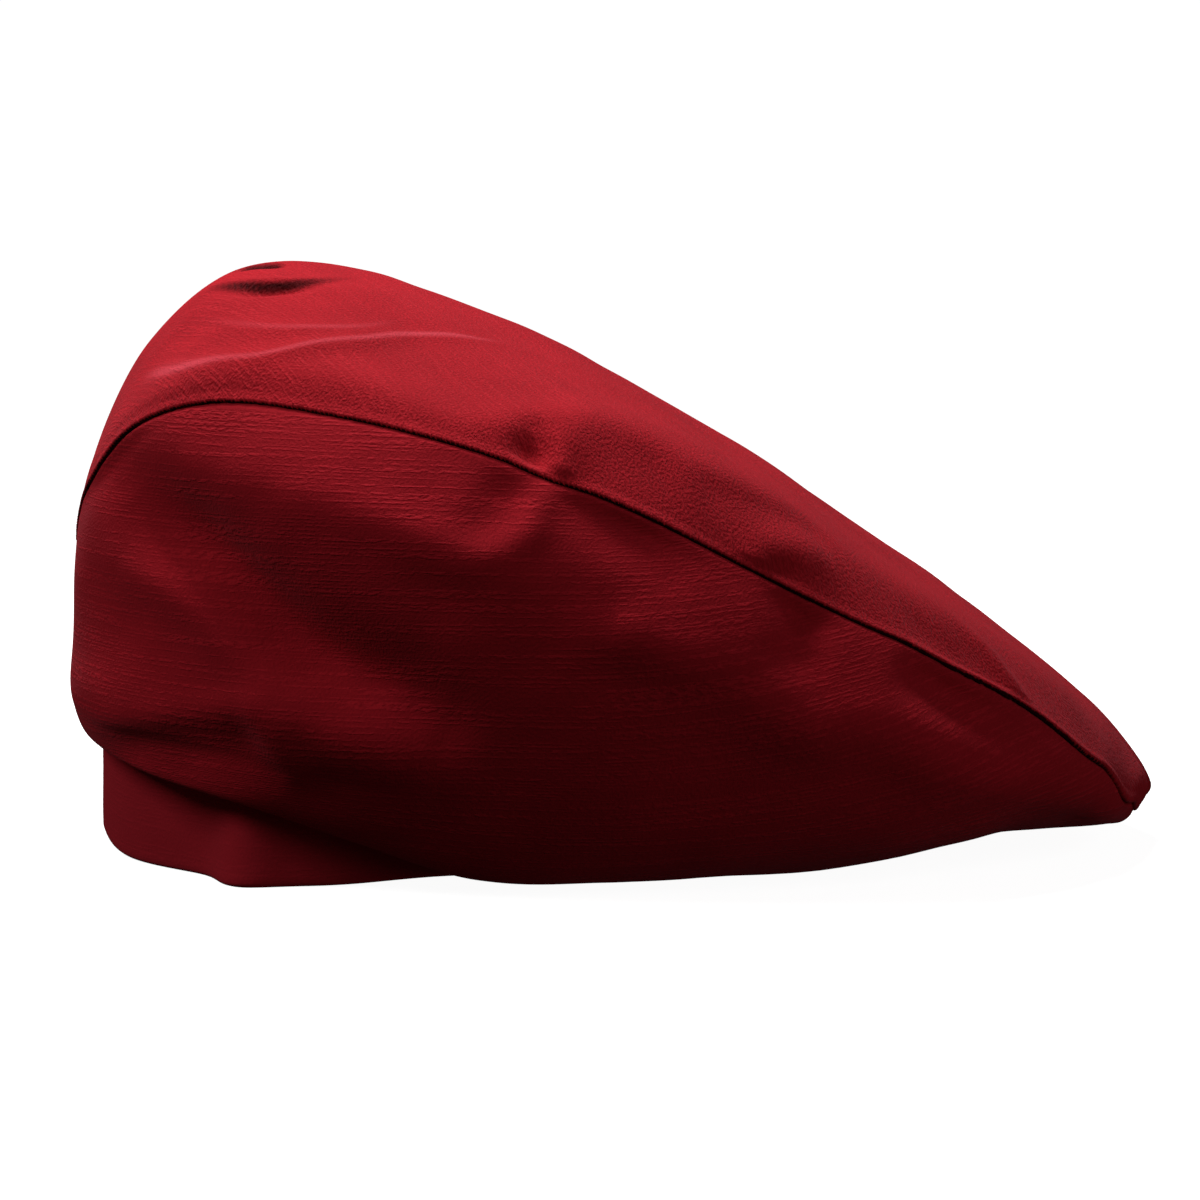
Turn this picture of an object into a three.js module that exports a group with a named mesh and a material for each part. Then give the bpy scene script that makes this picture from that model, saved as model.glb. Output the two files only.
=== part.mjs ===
// A soft beret-style cap of cotton twill, resting on its headband. The crown stands up at
// one end, runs down to a blunt point at the other, and folds over the band all the way round.
// Millimetres, +Z up, +X towards the low point, -Y towards the cap's right side.
// The origin is on the table, under the middle of the cap.
// A bearing is an angle round the cap in degrees: 0 at the low point, 90 on the left side,
// 180 at the high end and 270 on the right side.

import * as THREE from 'three';

// Sizes of the cloth
const PANEL_WALL = 1.6;
const BAND_WALL = 2;
const BAND_HEIGHT = 40;
const PIECE_GAP = 0.35;

// Plan ovals. highEnd and lowEnd are where an oval crosses the cap's long axis, halfWidth is
// its reach to each side, and squareness is 2 for an ellipse and more for fuller corners.
const BAND = { highEnd: -134.8, lowEnd: 67.5, halfWidth: 78, squareness: 2.1 };
const BELLY = { highEnd: -142.4, lowEnd: 131, halfWidth: 111, squareness: 2.1 };
const RIM = { highEnd: -140.8, lowEnd: 143, halfWidth: 104, squareness: 2 };

// Heights round the cap, alike on both sides: the crest along the middle of the top panel, the
// rim seam, the widest line of the belly, and the fold that hangs over the band. The overhang is
// how far the fold stands out from the band.
const SECTIONS = [
  { bearing: 0, crest: 11, rim: 11, belly: 8, fold: 5, overhang: 8 },
  { bearing: 15, crest: 25.5, rim: 12.5, belly: 10, fold: 4.8, overhang: 8 },
  { bearing: 30, crest: 40, rim: 27, belly: 18, fold: 4.5, overhang: 9 },
  { bearing: 45, crest: 57.5, rim: 46.5, belly: 26, fold: 3.2, overhang: 11 },
  { bearing: 60, crest: 78.5, rim: 63, belly: 34, fold: 2, overhang: 12 },
  { bearing: 75, crest: 101.5, rim: 81, belly: 43, fold: 1.5, overhang: 13 },
  { bearing: 90, crest: 123, rim: 100, belly: 54, fold: 2.2, overhang: 13 },
  { bearing: 105, crest: 140.4, rim: 113.5, belly: 62, fold: 12, overhang: 12 },
  { bearing: 120, crest: 151.6, rim: 121, belly: 66, fold: 21, overhang: 13 },
  { bearing: 135, crest: 151.5, rim: 123, belly: 66, fold: 25, overhang: 11 },
  { bearing: 150, crest: 131.8, rim: 115, belly: 62, fold: 28, overhang: 7 },
  { bearing: 165, crest: 103.5, rim: 97, belly: 56, fold: 30.5, overhang: 5 },
  { bearing: 180, crest: 80, rim: 80, belly: 52, fold: 31.5, overhang: 4.2 },
];

// How full the arch of the top panel is between its two rims
const TOP_ARCH = 2.2;

// How a side panel leaves the band: a short rise, a leg that hangs beside the band, and the lobe
// between the fold and the belly, placed at shares of the way from one to the other.
const ROLL = { rise: 3.5, share: 0.35 };
const LEG = { clearance: 0.9, share: 0.55 };
const LOBE = { outShare: 0.72, upShare: 0.33 };

// Waves of the band's lower hem. Each pushes the hem out and lifts it off the table at a bearing,
// and dies away over a spread in degrees. The seam to the crown holds most of a push back at the
// top of the band, and the fold over the band follows a part of it.
const HEM_WAVES = [
  { bearing: 95, spread: 15, push: -5, lift: 0 },
  { bearing: 124, spread: 15, push: 4, lift: 0 },
  { bearing: 205, spread: 9, push: -4, lift: 0 },
  { bearing: 237, spread: 14, push: 12, lift: 0 },
  { bearing: 267, spread: 14, push: -10, lift: 1.5 },
];
const HEM_HOLD = 0.85;
const FOLD_FOLLOWS_HEM = 0.25;

// Folds and dents of the cloth. Each follows a path, dies away over its width to both sides, and
// sinks the cloth by its depth. A negative depth is a raised ridge or bump.
// On the side panels the path's points are distances along the cap and heights.
const RIGHT_FOLDS = [
  { path: [[-117, 104], [-40, 57]], width: 13, depth: 6 },
  { path: [[-132, 36], [-92, 38]], width: 6, depth: 3 },
  { path: [[-89, 48], [-70, 27]], width: 7, depth: -3 },
  { path: [[-14, 106], [-24, 83]], width: 6, depth: -3 },
  { path: [[-29, 98], [-31, 90]], width: 7, depth: 3 },
  { path: [[-6, 98], [-8, 88]], width: 7, depth: 2.5 },
  { path: [[6, 76], [27, 72]], width: 10, depth: -3 },
  { path: [[44, 75], [66, 62]], width: 7, depth: 3.5 },
  { path: [[46, 54], [64, 50]], width: 9, depth: -2.5 },
  { path: [[70, 56], [88, 47]], width: 6, depth: 2.5 },
];
const LEFT_FOLDS = [
  { path: [[-104, 96], [-24, 52]], width: 15, depth: 5 },
  { path: [[16, 92], [4, 66]], width: 8, depth: -3 },
  { path: [[36, 80], [58, 62]], width: 8, depth: 3 },
  { path: [[-128, 37], [-86, 40]], width: 7, depth: 2.5 },
];

// On the top panel the path's points are distances along the cap and across it.
const TOP_FOLDS = [
  { path: [[-106, -28], [-90, -37], [-70, -27]], width: 7, depth: 4.5 },
  { path: [[-125, -28], [-92, -60], [-46, -52]], width: 7, depth: -1.5 },
  { path: [[-22, -90], [-18, -80]], width: 7, depth: 3.5 },
  { path: [[-3, -90], [12, -84]], width: 9, depth: 2.5 },
  { path: [[32, -84], [47, -66]], width: 8, depth: -2 },
  { path: [[44, -84], [52, -78]], width: 7, depth: 3 },
  { path: [[80, -70], [108, -60]], width: 8, depth: -2 },
  { path: [[-52, 66], [-24, 76]], width: 10, depth: 2.5 },
  { path: [[30, 60], [52, 74]], width: 9, depth: 2.5 },
];

// Seams hold the cloth, so folds die away within this distance of them. Where two panels meet at
// a sharp angle, the inner edge of their seam goes no deeper than this cosine allows.
const SEAM_HOLD = 9;
const SHARPEST_MITRE = 0.6;

// Steps of the surfaces: round half the cap, across the top, up each stretch of a side panel
// from the band to the rim, and up the band.
const HALF_STEPS = 42;
const ACROSS_STEPS = 22;
const SIDE_STEPS = [2, 2, 3, 3, 3, 5];
const BAND_STEPS = 3;

// Crimson cotton twill, a little darker where the panels stand upright
const TWILL = { top: 0xa02733, side: 0x8a1822, band: 0x7c151e, roughness: 0.85 };

// Half a turn round the cap, in degrees, and how finely points are told apart, per millimetre
const HALF_TURN = 180;
const POINT_GRAIN = 1e4;

// Interpolation round the cap

// A turn brought between minus and plus half a turn
function shortTurn(degrees) {
  return THREE.MathUtils.euclideanModulo(degrees + HALF_TURN, 2 * HALF_TURN) - HALF_TURN;
}

// A column of the sections' table at any bearing, as a smooth curve through its rows
function sectionValue(column, bearing) {
  const last = SECTIONS.length - 1;
  const place = (Math.abs(shortTurn(bearing)) / HALF_TURN) * last;
  const row = Math.min(Math.floor(place), last - 1);
  const share = place - row;
  const value = (index) => SECTIONS[last - Math.abs(last - Math.abs(index))][column];
  const [before, start, end, after] = [value(row - 1), value(row), value(row + 1), value(row + 2)];
  const slope = end - before;
  const bend = 2 * before - 5 * start + 4 * end - after;
  const twist = 3 * (start - end) + after - before;
  return 0.5 * (2 * start + share * (slope + share * (bend + share * twist)));
}

function signedPower(value, power) {
  return Math.sign(value) * Math.abs(value) ** power;
}

// A point of a plan oval, moved out square to the oval by the given distance
function ovalPoint(oval, bearing, outward, height) {
  const angle = THREE.MathUtils.degToRad(bearing);
  const halfLength = (oval.lowEnd - oval.highEnd) / 2;
  const middle = (oval.lowEnd + oval.highEnd) / 2;
  const power = 2 / oval.squareness;
  const [along, across] = [Math.cos(angle), Math.sin(angle)];
  const square = new THREE.Vector2(
    signedPower(along, 2 - power) / halfLength,
    signedPower(across, 2 - power) / oval.halfWidth,
  ).normalize();
  return new THREE.Vector3(
    middle + halfLength * signedPower(along, power) + outward * square.x,
    oval.halfWidth * signedPower(across, power) + outward * square.y,
    height,
  );
}

// What the hem's waves add up to at a bearing, for the given column of their table
function hemWave(column, bearing) {
  return HEM_WAVES.reduce((sum, wave) => (
    sum + wave[column] * Math.exp(-((shortTurn(bearing - wave.bearing) / wave.spread) ** 2))
  ), 0);
}

// A point beside the band, outward from its wall, that follows a share of the hem's waves
function bandPoint(bearing, height, outward, waveShare = 1) {
  const free = 1 - HEM_HOLD * Math.min(height / BAND_HEIGHT, 1);
  return ovalPoint(BAND, bearing, outward + waveShare * free * hemWave('push', bearing), height);
}

// The line of one side panel, from the top of the band down round the fold and up to the rim
function sideCurve(bearing) {
  const foldHeight = sectionValue('fold', bearing);
  const seamHeight = BAND_HEIGHT + PIECE_GAP;
  const legHeight = THREE.MathUtils.lerp(seamHeight, foldHeight, LEG.share);
  const start = bandPoint(bearing, seamHeight, -PIECE_GAP);
  const fold = bandPoint(bearing, foldHeight, sectionValue('overhang', bearing), FOLD_FOLLOWS_HEM);
  const belly = ovalPoint(BELLY, bearing, 0, sectionValue('belly', bearing));
  const rim = ovalPoint(RIM, bearing, 0, sectionValue('rim', bearing));
  const roll = start.clone().lerp(fold, ROLL.share).setZ(seamHeight + ROLL.rise);
  const leg = bandPoint(bearing, legHeight, LEG.clearance);
  const lobe = fold.clone().lerp(belly, LOBE.outShare);
  lobe.z = THREE.MathUtils.lerp(fold.z, belly.z, LOBE.upShare);
  return new THREE.CatmullRomCurve3([start, roll, leg, fold, lobe, belly, rim], false, 'catmullrom');
}

// A point of the top panel: across runs from -1 at the right rim to 1 at the left
function topPoint(bearing, across) {
  const rim = ovalPoint(RIM, bearing, 0, sectionValue('rim', bearing));
  const crest = sectionValue('crest', bearing);
  const drop = (crest - rim.z) * Math.abs(across) ** TOP_ARCH;
  return new THREE.Vector3(rim.x, rim.y * across, crest - drop);
}

// Surfaces as grids of points

function range(steps) {
  return Array.from({ length: steps + 1 }, (_, index) => index / steps);
}

function mapGrid(grid, change) {
  return grid.map((column, i) => column.map((point, j) => change(point, i, j)));
}

function vertexKey(point) {
  return [point.x, point.y, point.z].map((value) => Math.round(value * POINT_GRAIN)).join();
}

function cellTriangles(grid, i, j) {
  const [a, b, c, d] = [grid[i][j], grid[i + 1][j], grid[i + 1][j + 1], grid[i][j + 1]];
  return [[a, b, c], [a, c, d]];
}

// Outward normals of a grid, with points that coincide sharing one normal
function gridNormals(grid) {
  const sums = new Map();
  mapGrid(grid, (point) => sums.set(vertexKey(point), new THREE.Vector3()));
  for (let i = 0; i + 1 < grid.length; i += 1) {
    for (let j = 0; j + 1 < grid[i].length; j += 1) {
      for (const [a, b, c] of cellTriangles(grid, i, j)) {
        const area = b.clone().sub(a).cross(c.clone().sub(a));
        [a, b, c].forEach((corner) => sums.get(vertexKey(corner)).add(area));
      }
    }
  }
  return mapGrid(grid, (point) => sums.get(vertexKey(point)).clone().normalize());
}

// How far a place is from a path of straight stretches
function pathDistance(path, place) {
  const corners = path.map(([along, other]) => new THREE.Vector3(along, other, 0));
  const nearest = new THREE.Vector3();
  const distances = corners.slice(1).map((corner, index) => {
    new THREE.Line3(corners[index], corner).closestPointToPoint(place, true, nearest);
    return nearest.distanceTo(place);
  });
  return Math.min(...distances);
}

function foldDepth(folds, along, other) {
  const place = new THREE.Vector3(along, other, 0);
  return folds.reduce((depth, fold) => (
    depth + fold.depth * Math.exp(-((pathDistance(fold.path, place) / fold.width) ** 2))
  ), 0);
}

// Sinks a grid by its folds; depthAt gives the depth at a point of the grid
function sinkGrid(grid, depthAt) {
  const normals = gridNormals(grid);
  return mapGrid(grid, (point, i, j) => point.clone().addScaledVector(normals[i][j], -depthAt(point, i, j)));
}

function seamFade(distance) {
  return THREE.MathUtils.smoothstep(distance, 0, SEAM_HOLD);
}

// One side panel: columns round the cap from startBearing, rows from the band up to the rim
function sideGrid(startBearing, folds) {
  const rowPlaces = SIDE_STEPS.flatMap((steps, span) => (
    range(steps).slice(span ? 1 : 0).map((share) => (span + share) / SIDE_STEPS.length)
  ));
  const grid = range(HALF_STEPS).map((turn) => {
    const curve = sideCurve(startBearing + HALF_TURN * turn);
    return rowPlaces.map((place) => curve.getPoint(place));
  });
  const firstFree = SIDE_STEPS[0] + SIDE_STEPS[1] + SIDE_STEPS[2];
  return sinkGrid(grid, (point, i, j) => {
    const rimDistance = point.distanceTo(grid[i].at(-1));
    const hold = seamFade(rimDistance) * seamFade(Math.abs(point.y));
    return j > firstFree ? hold * foldDepth(folds, point.x, point.z) : 0;
  });
}

// The top panel: columns across from the right rim to the left, rows from the low point
function topGrid() {
  const grid = range(ACROSS_STEPS).map((share) => (
    range(HALF_STEPS).map((turn) => topPoint(HALF_TURN * turn, 2 * share - 1))
  ));
  return sinkGrid(grid, (point, i, j) => {
    const rimDistance = Math.min(point.distanceTo(grid[0][j]), point.distanceTo(grid.at(-1)[j]));
    return seamFade(rimDistance) * foldDepth(TOP_FOLDS, point.x, point.y);
  });
}

// Closed solids

// Joins an outer and an inner grid into one closed wall. A ring's last column meets its first.
function wallGeometry(outer, inner, isRing) {
  const indices = new Map();
  const positions = [];
  const triangles = [];
  const indexOf = (point) => {
    const key = vertexKey(point);
    if (!indices.has(key)) {
      indices.set(key, indices.size);
      positions.push(point.x, point.y, point.z);
    }
    return indices.get(key);
  };
  const addTriangle = (corners) => {
    const [a, b, c] = corners.map(indexOf);
    if (a !== b && b !== c && c !== a) {
      triangles.push(a, b, c);
    }
  };
  const [columns, rows] = [outer.length - 1, outer[0].length - 1];
  for (let i = 0; i < columns; i += 1) {
    for (let j = 0; j < rows; j += 1) {
      cellTriangles(outer, i, j).forEach(addTriangle);
      cellTriangles(inner, i, j).forEach(([a, b, c]) => addTriangle([c, b, a]));
    }
  }
  const addEdge = (i, j, nextI, nextJ) => {
    addTriangle([outer[nextI][nextJ], outer[i][j], inner[i][j]]);
    addTriangle([outer[nextI][nextJ], inner[i][j], inner[nextI][nextJ]]);
  };
  for (let i = 0; i < columns; i += 1) {
    addEdge(i, 0, i + 1, 0);
    addEdge(i + 1, rows, i, rows);
  }
  for (let j = 0; j < rows && !isRing; j += 1) {
    addEdge(columns, j, columns, j + 1);
    addEdge(0, j + 1, 0, j);
  }
  const geometry = new THREE.BufferGeometry();
  geometry.setAttribute('position', new THREE.Float32BufferAttribute(positions, 3));
  geometry.setIndex(triangles);
  geometry.computeVertexNormals();
  return geometry;
}

// How two panels meet at a rim point: the way in from the seam to its inner edge, and the
// direction square to the seam, out of the side panel and into the top
function rimMitre(topNormal, sideNormal, alongRim) {
  const inward = topNormal.clone().add(sideNormal).normalize().negate();
  const halfAngleCosine = Math.max(-inward.dot(topNormal), SHARPEST_MITRE);
  const overTop = topNormal.clone().cross(alongRim);
  const overSide = sideNormal.clone().cross(alongRim);
  return {
    inward: inward.multiplyScalar(PANEL_WALL / halfAngleCosine),
    intoTop: overTop.add(overSide).normalize(),
  };
}

// Moves points near a seam off it, so that each panel stays on its own side with half the gap
function keepOffSeam(points, rim, intoPanel) {
  for (const point of points) {
    const past = PIECE_GAP / 2 - point.clone().sub(rim).dot(intoPanel);
    if (past > 0 && point.distanceTo(rim) < SEAM_HOLD) {
      point.addScaledVector(intoPanel, past);
    }
  }
}

// The direction of the rim at one column of a side panel; at the ends of the cap it runs across
function rimDirection(rims, i) {
  const along = rims[Math.min(i + 1, HALF_STEPS)].clone().sub(rims[Math.max(i - 1, 0)]);
  const isEnd = i === 0 || i === HALF_STEPS;
  return isEnd ? new THREE.Vector3(0, Math.sign(along.y), 0) : along.normalize();
}

// Walls of the three crown panels, mitred at the rim with a small gap between them
function crownWalls() {
  const top = topGrid();
  const sides = { left: sideGrid(0, LEFT_FOLDS), right: sideGrid(HALF_TURN, RIGHT_FOLDS) };
  const topNormals = gridNormals(top);
  const thickened = (grid, normals) => mapGrid(grid, (point, i, j) => (
    point.clone().addScaledVector(normals[i][j], -PANEL_WALL)
  ));
  const walls = { top: { outer: top, inner: thickened(top, topNormals) } };
  for (const name of ['left', 'right']) {
    const grid = sides[name];
    const normals = gridNormals(grid);
    [normals[0], normals.at(-1)].flat().forEach((normal) => normal.setY(0).normalize());
    const inner = thickened(grid, normals);
    const rims = grid.map((column) => column.at(-1).clone());
    const edge = name === 'left' ? ACROSS_STEPS : 0;
    grid.forEach((column, i) => {
      const station = name === 'left' ? i : HALF_STEPS - i;
      const isTip = station === 0 || station === HALF_STEPS;
      const mitre = rimMitre(topNormals[edge][station], normals[i].at(-1), rimDirection(rims, i));
      const innerRim = rims[i].clone().add(mitre.inward);
      inner[i].at(-1).copy(innerRim);
      keepOffSeam([...column, ...inner[i]], rims[i], mitre.intoTop.clone().negate());
      walls.top.outer.forEach((row, k) => {
        if (isTip || k === edge) {
          row[station].copy(rims[i]);
          walls.top.inner[k][station].copy(innerRim);
        }
        keepOffSeam([row[station], walls.top.inner[k][station]], rims[i], mitre.intoTop);
      });
    });
    const clearSide = name === 'left' ? 1 : -1;
    [grid[0], grid.at(-1), inner[0], inner.at(-1)].flat().forEach((point) => {
      point.y = (clearSide * PIECE_GAP) / 2;
    });
    walls[name] = { outer: grid, inner };
  }
  return walls;
}

// The band's wall, up from its hem on the table
function bandWall() {
  const wallGrid = (outward) => range(2 * HALF_STEPS).map((turn) => {
    const bearing = 2 * HALF_TURN * turn;
    return range(BAND_STEPS).map((share) => {
      const point = bandPoint(bearing, BAND_HEIGHT * share, outward);
      point.z += (1 - share) * hemWave('lift', bearing);
      return point;
    });
  });
  return { outer: wallGrid(0), inner: wallGrid(-BAND_WALL) };
}

function twillMesh(name, wall, color, isRing = false) {
  const material = new THREE.MeshStandardMaterial({ color, roughness: TWILL.roughness, metalness: 0 });
  const mesh = new THREE.Mesh(wallGeometry(wall.outer, wall.inner, isRing), material);
  mesh.name = name;
  return mesh;
}

const crown = crownWalls();
const cap = new THREE.Group();
cap.add(
  twillMesh('top_panel', crown.top, TWILL.top),
  twillMesh('side_panel_right', crown.right, TWILL.side),
  twillMesh('side_panel_left', crown.left, TWILL.side),
  twillMesh('headband', bandWall(), TWILL.band, true),
);

export default cap;
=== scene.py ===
"""A soft beret-style cap of crimson cotton twill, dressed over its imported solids.

The crown is three shaped panels sewn at a rim seam, and it folds over a plain headband.
Tables and forms are in millimetres, and meshes in metres. +Z is up, +X runs towards the low
point of the crown and -Y towards the cap's right side. A bearing is an angle round the cap in
degrees: 0 at the low point, 90 on the left side, 180 at the high end and 270 on the right.
"""

import math
from collections import namedtuple

import bpy
import numpy as np
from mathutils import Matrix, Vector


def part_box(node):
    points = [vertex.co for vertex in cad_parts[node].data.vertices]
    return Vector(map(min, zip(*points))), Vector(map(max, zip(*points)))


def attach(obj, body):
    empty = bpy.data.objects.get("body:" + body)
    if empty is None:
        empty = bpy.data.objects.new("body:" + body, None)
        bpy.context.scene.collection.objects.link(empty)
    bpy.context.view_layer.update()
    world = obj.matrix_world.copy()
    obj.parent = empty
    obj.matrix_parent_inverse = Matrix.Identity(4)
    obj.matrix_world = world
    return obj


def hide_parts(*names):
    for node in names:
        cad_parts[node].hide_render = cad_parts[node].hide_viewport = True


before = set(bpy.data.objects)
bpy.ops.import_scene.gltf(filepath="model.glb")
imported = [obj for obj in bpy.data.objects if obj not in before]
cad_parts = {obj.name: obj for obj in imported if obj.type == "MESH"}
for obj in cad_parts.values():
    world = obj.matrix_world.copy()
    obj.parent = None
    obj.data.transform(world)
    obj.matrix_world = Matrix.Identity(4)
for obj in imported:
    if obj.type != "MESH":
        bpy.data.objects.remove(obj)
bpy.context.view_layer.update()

bl_info = {
    "name": "Crimson Twill Cap",
    "version": (1, 0, 0),
    "blender": (4, 5, 0),
    "location": "View3D > Sidebar > Cap",
    "description": "Sews a soft beret-style cap with twill panels, a rim seam and a headband",
    "category": "Add Mesh",
}

MM = 0.001
HALF_TURN = 180.0
BAND_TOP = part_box("headband")[1].z
SMALLEST = 1e-12
WHITE = (1.0, 1.0, 1.0)

# What the meshes carry for their finishes and yarns, among it the shade painted into the rim seam's
# groove and into the top's closed creases, with its paler lines and painted sheen, and the columns that
# hold it while a wall is made, after the two for the flat cloth
CLOTH_MAP = "cloth"
PAINTED_SEAM_SHADE = "seam_gap"
CREASE_SHADE = "crease_shade"
EDGE_SQUARE = "edge_square"
SEAM_SHADE_COLUMN = 2
SHADE_COLUMN = 3

# The form of the cap

Oval = namedtuple("Oval", "high_end low_end half_width squareness")
BAND = Oval(-134.8, 67.5, 78, 2.1)
BELLY = Oval(-142.4, 132.5, 111, 2.1)
RIM = Oval(-140.8, 145.2, 104, 2)

# Heights every 15 degrees round each side: the crest along the middle of the top panel, the rim
# seam, the widest line of the belly and the fold over the band. Then how far the fold stands out,
# how far the side swells and how far below the rim, and how far in from the rim the top rolls
# over on the right, with the share of its rise that the roll takes.
Section = namedtuple("Section", "crest rim belly fold overhang swell drop roll roll_share")
SECTIONS = [
    Section(9.2, 9.2, 7, 5, 8, 1.2, 3, 18, 0.8),
    Section(21, 12.5, 10, 6, 8, 1.5, 6, 26, 1),
    Section(37.5, 27, 18, 6, 9, 4, 9, 28, 1),
    Section(55.8, 46.5, 26, 2.5, 11, 5.5, 15, 20, 1),
    Section(77, 63, 34, 3, 12, 7.5, 21, 18, 1),
    Section(100.6, 81, 43, 2.7, 13, 8.5, 24, 15.5, 1),
    Section(122.6, 100, 50, 3.4, 13, 9.5, 28, 17, 0.85),
    Section(140.4, 113.5, 51, 12.5, 12, 11.5, 31, 6, 0.14),
    Section(151.2, 121, 50, 21, 13, 11, 26, 8, 0.19),
    Section(151, 123, 50, 25, 11, 4.8, 20, 4, 0.14),
    Section(131.8, 115, 50, 28, 7, 3.5, 13, 3, 0.15),
    Section(103.5, 97, 49, 30.5, 5, 1, 13, 4, 0.2),
    Section(80, 80, 49, 31.5, 4.2, 0, 13, 4, 0.2),
]

# A side panel rises off the band, hangs beside it as a leg, turns at the fold and swells out.
SEAM_RISE = 0.35
ROLL_RISE = 3.5
ROLL_SHARE = 0.35
LEG_CLEARANCE = 0.9
LEG_SHARE = 0.55
LOBE_OUT = 0.72
LOBE_UP = 0.33

# Waves of the band's hem, which the seam to the crown holds back at the band's top
HemWave = namedtuple("HemWave", "bearing spread push lift")
HEM_WAVES = [
    HemWave(95, 15, -5, 0),
    HemWave(124, 15, 4, 0),
    HemWave(184, 13, 0, 4),
    HemWave(237.5, 6, 8, 0),
    HemWave(246, 16, 7.5, 0),
    HemWave(267, 13, -8, 1.5),
]
HEM_HOLD = 0.85
FOLD_FOLLOWS_HEM = 0.25

# Puckers of the rim seam, where the two cloths were eased together, and the low point, where the
# rim is tucked in under the top
Pucker = namedtuple("Pucker", "bearing spread rise push")
PUCKERS = [
    Pucker(0, 18, 0, -7.5),
    Pucker(345, 3.2, 1.6, 0),
    Pucker(338, 3.0, -1.2, 0),
    Pucker(331, 3.4, 1.2, 0),
    Pucker(300, 4.0, 0.8, 0),
    Pucker(263, 3.0, -1.0, 0),
    Pucker(96, 4.0, 0.9, 0),
    Pucker(60, 4.0, -0.9, 0),
    Pucker(24, 3.5, 1.3, 0),
]

# The top turns in to a tucked rim over this height. Each of its sides arches by a power, and its
# roll bends over by another.
TURN_IN = 5.5
RIGHT_ARCH = 1.6
LEFT_ARCH = 2.2
ROLL_BEND = 4

# Folds and dents sink the cloth beside a path, by a depth that dies away over a width. A negative
# depth is a ridge. A corner of a path holds its place along the cap, its height on a side or its
# place across the top, and the depth there.
Fold = namedtuple("Fold", "width path")
RIGHT_FOLDS = [
    Fold(10.5, [(-119, 100, 3.4), (-103, 87, 7.4), (-77, 64.5, 9), (-59, 55.5, 7.4), (-42, 47, 3.4)]),
    Fold(7, [(-104, 105, -0.6), (-65, 97.5, -1.3), (-40, 87.5, -2.8), (-26, 82, -1.4)]),
    Fold(10, [(-130, 44, -2), (-104, 47, -2), (-82, 45, -4.5), (-60, 41, -4.5), (-42, 38, -1.5)]),
    Fold(8, [(-124, 80, -1.5), (-104, 73, -4.5), (-90, 61, -4.5), (-78, 51, -3)]),
    Fold(4, [(-134, 37, -0.5), (-112, 43, -1.2), (-88, 48, -1)]),
    Fold(6.5, [(-120, 34, 0.7), (-104, 35.5, 1.3), (-92, 38.5, 1.9)]),
    Fold(4, [(-86, 46, -1.2), (-78, 32, -1.2)]),
    Fold(5, [(-16, 104, -1.6), (-20, 92, -1.8), (-27, 87, -1)]),
    Fold(6, [(-26, 100, 2), (-29, 94, 1.4)]),
    Fold(8, [(-6, 100, 2.2), (6, 91, 3), (12, 83, 2)]),
    Fold(7, [(-2, 67, -1.5), (4, 66, -3), (20, 60, -2), (34, 56, -0.6)]),
    Fold(6.5, [(47, 76, 3.6), (44, 62, 3.6)]),
    Fold(7, [(36, 49, -2), (46, 44, -3.2), (61, 44, -3), (79, 34, -2.4), (94, 29, -1.2)]),
    Fold(6, [(98, 38, 2.2), (84, 48, 4.8), (74, 54, 3.2)]),
]
LEFT_FOLDS = [
    Fold(13, [(-108, 96, 2), (-62, 66, 4), (-24, 54, 3)]),
    Fold(8, [(16, 92, -2), (4, 66, -2)]),
    Fold(8, [(36, 80, 2), (58, 62, 2)]),
    Fold(7, [(-128, 37, 2), (-86, 40, 2.5)]),
]
TOP_FOLDS = [
    Fold(2.6, [(-105, -13, 0.2), (-97, -25, 1.6), (-90, -31, 2.4), (-83, -31, 2.2), (-76, -25, 1),
               (-69, -16, 0.2)]),
    Fold(3.5, [(-106, -7, -0.1), (-97, -19.5, -0.9), (-90, -25.5, -1.2), (-80, -24, -1), (-70, -13, -0.1)]),
    Fold(3, [(-95, -1, 2.6), (-89, -4, 2.6)]),
    Fold(4, [(-122, -30, -0.2), (-112, -52, -0.8), (-96, -66, -1.1), (-84, -70, -1.1), (-65.5, -63, -1.1),
             (-51.5, -51, -0.8), (-37.5, -41, -0.4)]),
    Fold(4, [(-110, -26, -0.2), (-96.5, -48, -0.5), (-83, -58, -0.8), (-66, -55, -0.6), (-51, -40.5, -0.2)]),
    Fold(6, [(-112, -30, 0.8), (-106, -38, 0.8)]),
    Fold(4.5, [(-19.5, -99, 3), (-19, -95, 1.6)]),
    Fold(3.5, [(-13, -101, -1.6), (-12, -97, -0.8)]),
    Fold(7, [(0, -94, 1.5), (10, -93, 1.5)]),
    Fold(5, [(26, -91, 1), (38, -87, 1.4), (50, -81, 1.2)]),
    Fold(4, [(34, -101, -1), (38, -97, -1.5), (43, -94, -1.5), (50, -89.5, -0.8)]),
    Fold(3, [(41.5, -99, 1.1), (44, -97, 0.8)]),
    Fold(4, [(88, -66, -0.5), (95, -67.5, -1.3), (100, -70, -1.4), (106, -71, -0.4)]),
    Fold(6, [(80, -83, 0.8), (96, -78, 0.8)]),
    Fold(10, [(-52, 66, 2.5), (-24, 76, 2)]),
    Fold(9, [(30, 60, 2.5), (52, 74, 2)]),
]
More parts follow.
